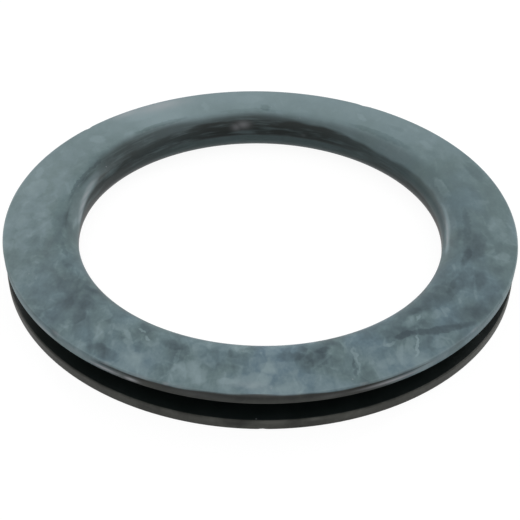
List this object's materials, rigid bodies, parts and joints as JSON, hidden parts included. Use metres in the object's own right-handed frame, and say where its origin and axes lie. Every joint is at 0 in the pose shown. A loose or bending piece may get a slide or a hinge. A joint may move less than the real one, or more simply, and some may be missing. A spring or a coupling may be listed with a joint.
{
  "type": "bearing seal",
  "caption": "Flat round rubber seal ring of U-shaped section: thin parallel lips joined by a web rounded towards the bore, with a groove open outwards all round.",
  "frame": {"origin": "centre of the ring on the lower lip's outer face", "axes": "+Z along the bore axis, from the lower lip to the upper lip"},
  "size_m": [0.05, 0.05, 0.004],
  "materials": {
    "rubber": "moulded black rubber with a dull blue-grey bloom"
  },
  "bodies": {
    "root": {"seal_ring": "rubber"}
  },
  "joints": []
}
